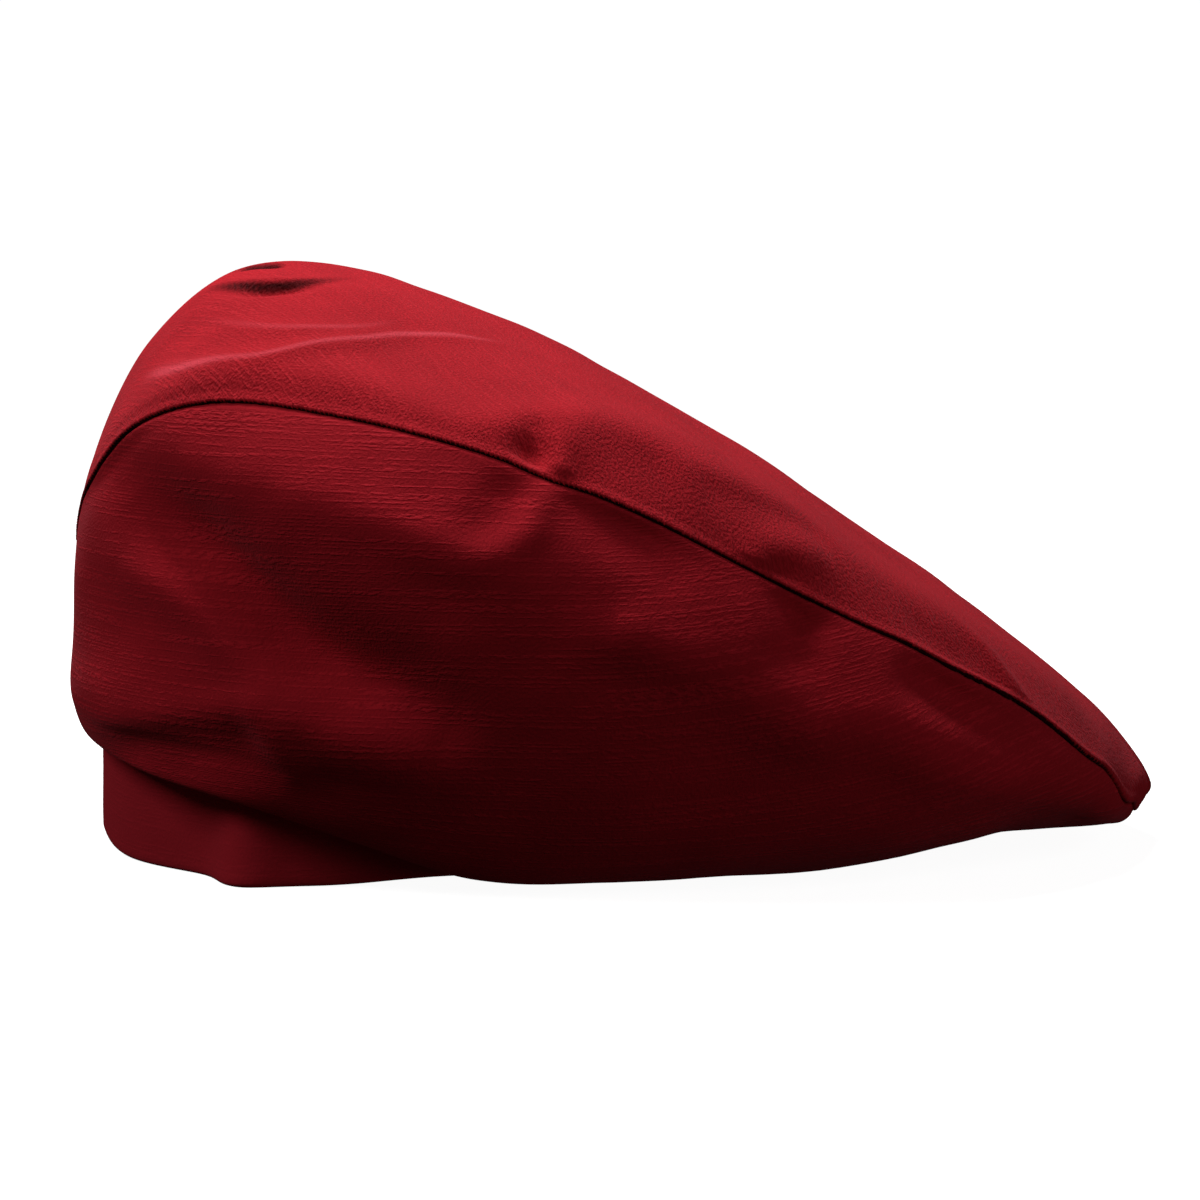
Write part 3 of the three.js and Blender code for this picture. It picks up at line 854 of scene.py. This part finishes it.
class CAP_OT_top_panel(bpy.types.Operator):
    """Shape the long domed top of the crown"""

    bl_idname = "cap.top_panel"
    bl_label = "Top panel"

    def execute(self, context):
        sizes, colours = context.scene.cap_sizes, context.scene.twill_colours
        grid, shade = top_grid(sizes)
        # Shade painted on the inner side of the top's folded edge, fading out towards the low point
        edge_seam_shade = ease(RIM.low_end - grid[..., 0], FLAT_END_LENGTH)
        mesh = wall_mesh("dressed_top_panel", grid, top_cloth(grid), sizes.panel_wall / MM,
                         edge_seam_shade=edge_seam_shade, shade=shade)
        finish = twill_finish("crimson twill of the top", colours.top, TOP_WEAVE, colours)
        place_piece("dressed_top_panel", mesh, finish, "top_panel")
        return {"FINISHED"}


def side_grid(start_bearing, folds, sizes):
    """A shaped side panel, its place on the flat cloth, and the shade painted into its groove at the rim."""
    turn = start_bearing + np.linspace(0, HALF_TURN, SIDE_COLUMNS + 1)
    grid = side_surface(turn, sizes.band_height / MM)
    cloth = side_cloth(grid)
    off_rim, off_end = seam_distance(grid), np.abs(grid[..., 1])
    hold = ease(off_rim, SEAM_HOLD) * ease(off_end, SEAM_HOLD)
    free = ease(np.arange(grid.shape[1]) - FOLD_ROW, FREE_ROWS)
    facing = grid[..., [0, 2]]
    depth = free * hold * (fold_depth(folds, facing) + ripple_depth(SIDE_RIPPLES, facing))
    across = turn[:, None] + np.zeros(off_rim.shape)
    drop = off_rim / section_value("drop", across)
    depth -= free * section_value("swell", across) * drop * np.exp((1 - drop ** 2) / 2)
    grooved = ease(np.abs(short_turn(across)), FLAT_END_TURN)
    depth += free * grooved * END_TUCK * (1 - ease(off_end, END_TUCK_WIDTH))
    groove = grooved * np.clip(1 - off_rim / GROOVE_WIDTH, 0, 1) ** GROOVE_POWER
    grid = sunk(grid, depth)
    grid[..., :2] -= oval_outward(RIM, across) * (sizes.groove / MM * groove)[..., None]
    side = 1 if start_bearing < HALF_TURN else -1
    grid[0, :, 1] = grid[-1, :, 1] = side * (END_CLEARANCE + sizes.panel_wall / MM / 2)
    return grid, cloth, grooved * (1 - ease(off_rim, GROOVE_WIDTH))


def side_cloth(grid):
    """Places of a side panel's points on the flat cloth, whose weave rises towards the low end."""
    up = run_lengths(grid, 1)
    up += (grid[:, BELLY_ROW, 2] - up[:, BELLY_ROW])[:, None]
    up -= WEAVE_BEND * np.maximum(grid[..., 0] - WEAVE_LEVEL, 0) ** 2
    round_belly = run_lengths(grid[:, BELLY_ROW:BELLY_ROW + 1], 0)
    return np.stack([np.broadcast_to(round_belly, up.shape), up], -1)


class CAP_OT_side_panels(bpy.types.Operator):
    """Shape the two sides of the crown, from the band round the fold to the rim"""

    bl_idname = "cap.side_panels"
    bl_label = "Side panels"

    def execute(self, context):
        sizes, colours = context.scene.cap_sizes, context.scene.twill_colours
        finish = twill_finish("crimson twill of the sides", colours.side, SIDE_WEAVE, colours)
        for name, start, folds in (("left", 0.0, LEFT_FOLDS), ("right", HALF_TURN, RIGHT_FOLDS)):
            # The third value paints shade into the side's groove under the rim seam.
            grid, cloth, seam_shade = side_grid(start, folds, sizes)
            mesh = wall_mesh(f"dressed_side_{name}", grid, cloth, sizes.panel_wall / MM, seam_shade=seam_shade)
            place_piece(f"dressed_side_{name}", mesh, finish, f"side_panel_{name}")
        return {"FINISHED"}


class CAP_OT_headband(bpy.types.Operator):
    """Shape the plain band round the head opening"""

    bl_idname = "cap.headband"
    bl_label = "Headband"

    def execute(self, context):
        sizes, colours = context.scene.cap_sizes, context.scene.twill_colours
        height = sizes.band_height / MM
        turn = np.linspace(0, 2 * HALF_TURN, BAND_COLUMNS + 1)[:, None]
        rise = np.linspace(0, 1, BAND_ROWS + 1)[None, :]
        edge = sizes.band_wall / MM / 2
        up = edge + rise * (height - 2 * edge)
        turn, up = np.broadcast_arrays(turn, up)
        grid = band_points(turn, up, 0.0, height)
        grid[..., 2] += (1 - up / height) * bearing_bumps(HEM_WAVES, "lift", turn)
        girth = run_lengths(grid[:, :1], 0)
        cloth = np.stack([np.broadcast_to(girth, up.shape), up], -1)
        round_waves = ripple_depth(BAND_RIPPLES, np.stack([grid[..., 0] + grid[..., 1], up], -1))
        grid = sunk(grid, round_waves * (1 - up / height), ring=True)
        mesh = wall_mesh("dressed_headband", grid, cloth, sizes.band_wall / MM, ring=True)
        finish = twill_finish("crimson twill of the band", colours.band, BAND_WEAVE, colours)
        place_piece("dressed_headband", mesh, finish, "headband")
        return {"FINISHED"}


# Yarns on the rim's folded edge, up to a place along the cap. They stand more along the cloth's
# normal than out from the edge, and sink into it a little. Each slants by an angle in degrees, gives
# or takes another in radians, and grows by a factor from a range.
YARN_END = 5.0
YARN_UPRIGHT = 2
YARN_SINK = 0.2
YARN_SLANT = -52.0
YARN_SWAY = 0.22
YARN_GROWTH = (0.75, 1.2)
YARN_SEED = 7
YARN_SEGMENTS = 6
YARN_RINGS = 5

# The uneven dye of the yarns: its noise in cells a metre, the levels of noise and the shares of the
# top's dye at its two ends
YARN_GRAIN = 900.0
YARN_DETAIL = 2.0
YARN_LEVELS = (0.3, 0.7)
YARN_DYES = (0.6, 1.2)
YARN_ROUGHNESS = 0.9
YARN_GLOSS = 0.06

# Places of the plain numbers on a Random Value node, whose names repeat for each kind of value
RANDOM_LOW = 2
RANDOM_HIGH = 3
RANDOM_RESULT = 1


class YarnTree:
    """Geometry nodes that lay short yarns side by side along the rim's folded edge."""

    def __init__(self):
        self.tree = bpy.data.node_groups.new("rim yarns", "GeometryNodeTree")
        self.inputs = {}
        self.socket("Edge", "NodeSocketGeometry")
        for name in ("Spacing", "Length", "Width", "Slant"):
            self.socket(name, "NodeSocketFloat")
        self.socket("Seed", "NodeSocketInt")
        self.socket("Finish", "NodeSocketMaterial")
        self.tree.interface.new_socket("Yarns", in_out="OUTPUT", socket_type="NodeSocketGeometry")
        self.given = self.tree.nodes.new("NodeGroupInput")

    def socket(self, name, kind):
        """Adds a socket for a value from outside the tree."""
        made = self.tree.interface.new_socket(name, in_out="INPUT", socket_type=kind)
        self.inputs[name] = made.identifier

    def node(self, kind, settings=None, sockets=None):
        """The outputs of a new node."""
        return add_node(self.tree, kind, settings, sockets)

    def vary(self, low, high):
        """A number between two others, drawn for each yarn."""
        sockets = {RANDOM_LOW: low, RANDOM_HIGH: high, "Seed": self.given.outputs["Seed"]}
        return self.node("FunctionNodeRandomValue", {"data_type": "FLOAT"}, sockets)[RANDOM_RESULT]

    def build(self):
        """Links the tree from the edge to the finished yarns."""
        given = self.given.outputs
        curve = self.node("GeometryNodeMeshToCurve", None, {"Mesh": given["Edge"]})["Curve"]
        points = self.node("GeometryNodeResampleCurve", {"mode": "LENGTH"},
                           {"Curve": curve, "Length": given["Spacing"]})["Curve"]
        square = self.node("GeometryNodeInputNamedAttribute", {"data_type": "FLOAT_VECTOR"},
                           {"Name": EDGE_SQUARE})["Attribute"]
        tangent = self.node("GeometryNodeInputTangent")["Tangent"]
        upright = self.node("FunctionNodeAlignRotationToVector", {"axis": "Z"},
                            {"Vector": square})["Rotation"]
        level = self.node("FunctionNodeAlignRotationToVector", {"axis": "X", "pivot_axis": "Z"},
                          {"Rotation": upright, "Vector": tangent})["Rotation"]
        sway = self.vary(-YARN_SWAY, YARN_SWAY)
        slant = self.node("ShaderNodeMath", {"operation": "ADD"}, {0: given["Slant"], 1: sway})[0]
        turn = self.node("ShaderNodeCombineXYZ", None, {"Z": slant})[0]
        turned = self.node("FunctionNodeRotateRotation", {"rotation_space": "LOCAL"},
                           {"Rotation": level, "Rotate By": turn})[0]
        ball = self.node("GeometryNodeMeshUVSphere", None,
                         {"Segments": YARN_SEGMENTS, "Rings": YARN_RINGS, "Radius": 1 / 2})["Mesh"]
        size = self.node("ShaderNodeCombineXYZ", None,
                         {"X": given["Length"], "Y": given["Width"], "Z": given["Width"]})[0]
        grow = self.vary(*YARN_GROWTH)
        scaled = self.node("ShaderNodeVectorMath", {"operation": "SCALE"}, {0: size, "Scale": grow})[0]
        laid = self.node("GeometryNodeInstanceOnPoints", None,
                         {"Points": points, "Instance": ball, "Rotation": turned, "Scale": scaled})[0]
        whole = self.node("GeometryNodeRealizeInstances", None, {"Geometry": laid})[0]
        smooth = self.node("GeometryNodeSetShadeSmooth", None, {0: whole})[0]
        dyed = self.node("GeometryNodeSetMaterial", None,
                         {"Geometry": smooth, "Material": given["Finish"]})[0]
        self.node("NodeGroupOutput", None, {"Yarns": dyed})
        return self.tree


def yarn_finish(colours):
    """Bare crimson yarn with uneven dye."""
    finish = Finish("crimson yarn")
    place = finish.node("ShaderNodeTexCoord", output="Object")
    grain = finish.node("ShaderNodeTexNoise", None,
                        {"Vector": place, "Scale": YARN_GRAIN, "Detail": YARN_DETAIL})
    dark, pale = (shaded(colours.top, share) for share in YARN_DYES)
    dyed = finish.tint(grain.between(*YARN_LEVELS), dark, pale)
    finish.set(Base_Color=dyed, Roughness=YARN_ROUGHNESS, Specular_IOR_Level=YARN_GLOSS,
               Sheen_Weight=colours.sheen_weight, Sheen_Tint=opaque(colours.sheen))
    return finish.material


class CAP_OT_rim_yarns(bpy.types.Operator):
    """Lay the slanted yarns that show along the top panel's folded edge"""

    bl_idname = "cap.rim_yarns"
    bl_label = "Rim yarns"

    def execute(self, context):
        sizes, colours = context.scene.cap_sizes, context.scene.twill_colours
        grid = top_grid(sizes)[0]
        ids = np.arange(grid[..., 0].size).reshape(grid.shape[:2])
        loop = border_loops(ids, ring=False)[0]
        edge, square = grid.reshape(-1, 3)[loop], grid_normals(grid).reshape(-1, 3)[loop]
        lean = unit(YARN_UPRIGHT * square + edge_outward(edge, square))
        radius = sizes.panel_wall / MM / 2
        line = edge - radius * square + (radius - YARN_SINK) * lean
        mesh = bpy.data.meshes.new("rim_yarns")
        kept = np.flatnonzero(line[:, 0] < YARN_END)
        ends = [(index, (index + 1) % len(loop)) for index in kept.tolist()]
        mesh.from_pydata((line * MM).tolist(), ends, [])
        mesh.attributes.new(EDGE_SQUARE, "FLOAT_VECTOR", "POINT").data.foreach_set("vector", lean.ravel())
        guide = bpy.data.objects.new("rim_guide", mesh)
        context.scene.collection.objects.link(guide)
        yarns = YarnTree()
        modifier = guide.modifiers.new("rim yarns", "NODES")
        modifier.node_group = yarns.build()
        finish = yarn_finish(colours)
        values = {"Spacing": sizes.yarn_spacing, "Length": sizes.yarn_length, "Width": sizes.yarn_width,
                  "Slant": math.radians(YARN_SLANT), "Seed": YARN_SEED, "Finish": finish}
        for name, value in values.items():
            modifier[yarns.inputs[name]] = value
        graph = context.evaluated_depsgraph_get()
        made = bpy.data.meshes.new_from_object(guide.evaluated_get(graph), depsgraph=graph)
        guide.modifiers.remove(modifier)
        bpy.data.objects.remove(guide)
        if not made.polygons:
            raise RuntimeError("no yarns were laid along the rim")
        place_piece("rim_yarns", made, finish)
        return {"FINISHED"}


# The studio, in metres and degrees. A light's power is the property that it names.
Lamp = namedtuple("Lamp", "name power size place")
LAMPS = [
    Lamp("key light", "key_power", 0.34, (-0.15, 0.24, 0.8)),
    Lamp("fill light", "fill_power", 1.3, (1.38, -1.05, 0.55)),
    Lamp("side light", "side_power", 0.6, (-1.12, -0.21, 0.98)),
]
LAMP_AIM = (0, 0, 0.06)
CAMERA_PLACE = (-0.00304, -1.4904, 0.2336)
CAMERA_DIP = 6.5

# In millimetres, as cameras have them
CAMERA_LENS = 170.06
CAMERA_SENSOR = 36.0

# The floor lies a hair under the cap. Behind it, a sweep turns up into a wall.
FLOOR_SINK = 0.0002
FLOOR_FRONT = -3.0
FLOOR_BACK = 1.2
FLOOR_HALF_WIDTH = 4.0
SWEEP_RADIUS = 0.8
SWEEP_STEPS = 24
WALL_TOP = 3.5
FLOOR_ROUGHNESS = 0.9
FLOOR_GLOW = 0.95


class CAP_OT_studio(bpy.types.Operator):
    """Set the pale floor, the soft light and the camera"""

    bl_idname = "cap.studio"
    bl_label = "Studio"

    def execute(self, context):
        scene, studio = context.scene, context.scene.studio_light
        self.lay_floor(scene, studio)
        for lamp in LAMPS:
            self.hang_light(scene, lamp, getattr(studio, lamp.power))
        world = bpy.data.worlds.new("studio")
        world.use_nodes = True
        air = world.node_tree.nodes["Background"].inputs
        air["Color"].default_value = opaque(WHITE)
        air["Strength"].default_value = studio.air
        scene.world = world
        scene.view_settings.view_transform = "Standard"
        lens = bpy.data.cameras.new("camera")
        lens.sensor_width = CAMERA_SENSOR
        lens.lens = CAMERA_LENS
        camera = bpy.data.objects.new("camera", lens)
        camera.location = CAMERA_PLACE
        camera.rotation_euler = (math.radians(HALF_TURN / 2 - CAMERA_DIP), 0, 0)
        scene.collection.objects.link(camera)
        scene.camera = camera
        return {"FINISHED"}

    def lay_floor(self, scene, studio):
        """A glowing floor that sweeps up into a wall behind the cap and sends no light back to it."""
        sweep = [(FLOOR_FRONT, 0.0)]
        for turn in np.linspace(0, math.pi / 2, SWEEP_STEPS):
            back, rise = SWEEP_RADIUS * math.sin(turn), SWEEP_RADIUS - SWEEP_RADIUS * math.cos(turn)
            sweep.append((FLOOR_BACK + back, rise))
        sweep.append((FLOOR_BACK + SWEEP_RADIUS, WALL_TOP))
        points = [(x, y, z) for y, z in sweep for x in (-FLOOR_HALF_WIDTH, FLOOR_HALF_WIDTH)]
        faces = [(2 * i, 2 * i + 1, 2 * i + 3, 2 * i + 2) for i in range(len(sweep) - 1)]
        mesh = bpy.data.meshes.new("studio_floor")
        mesh.from_pydata(points, [], faces)
        mesh.shade_smooth()
        finish = Finish("pale floor")
        finish.set(Base_Color=opaque(studio.floor), Roughness=FLOOR_ROUGHNESS,
                   Emission_Color=opaque(WHITE), Emission_Strength=FLOOR_GLOW)
        mesh.materials.append(finish.material)
        floor = bpy.data.objects.new("studio_floor", mesh)
        floor.location.z = -FLOOR_SINK
        floor.visible_diffuse = False
        floor.visible_glossy = False
        scene.collection.objects.link(floor)

    def hang_light(self, scene, lamp, power):
        """A square soft light that faces the cap."""
        light = bpy.data.lights.new(lamp.name, "AREA")
        light.energy = power
        light.size = lamp.size
        hung = bpy.data.objects.new(lamp.name, light)
        hung.location = lamp.place
        scene.collection.objects.link(hung)
        aim = Vector(LAMP_AIM) - hung.location
        hung.rotation_euler = aim.to_track_quat("-Z", "Y").to_euler()


class CAP_PT_panel(bpy.types.Panel):
    """Lists the cap's pieces, sizes and dyes"""

    bl_idname = "CAP_PT_panel"
    bl_label = "Crimson Twill Cap"
    bl_space_type = "VIEW_3D"
    bl_region_type = "UI"
    bl_category = "Cap"

    def draw(self, context):
        for operator in OPERATORS:
            self.layout.operator(operator.bl_idname)
        for group in (context.scene.cap_sizes, context.scene.twill_colours, context.scene.studio_light):
            box = self.layout.box()
            for name in group.__annotations__:
                box.prop(group, name)


OPERATORS = (CAP_OT_top_panel, CAP_OT_side_panels, CAP_OT_headband, CAP_OT_rim_yarns, CAP_OT_studio)
CLASSES = (CapSizes, TwillColours, StudioLight, *OPERATORS, CAP_PT_panel)


def register():
    """Adds the cap's operators, panel and settings to Blender."""
    for item in CLASSES:
        bpy.utils.register_class(item)
    bpy.types.Scene.cap_sizes = bpy.props.PointerProperty(type=CapSizes)
    bpy.types.Scene.twill_colours = bpy.props.PointerProperty(type=TwillColours)
    bpy.types.Scene.studio_light = bpy.props.PointerProperty(type=StudioLight)


def unregister():
    """Takes them away again."""
    del bpy.types.Scene.studio_light
    del bpy.types.Scene.twill_colours
    del bpy.types.Scene.cap_sizes
    for item in reversed(CLASSES):
        bpy.utils.unregister_class(item)


def main():
    """Makes every piece and the studio."""
    register()
    bpy.ops.cap.top_panel()
    bpy.ops.cap.side_panels()
    bpy.ops.cap.headband()
    bpy.ops.cap.rim_yarns()
    bpy.ops.cap.studio()


if __name__ == "__main__":
    main()
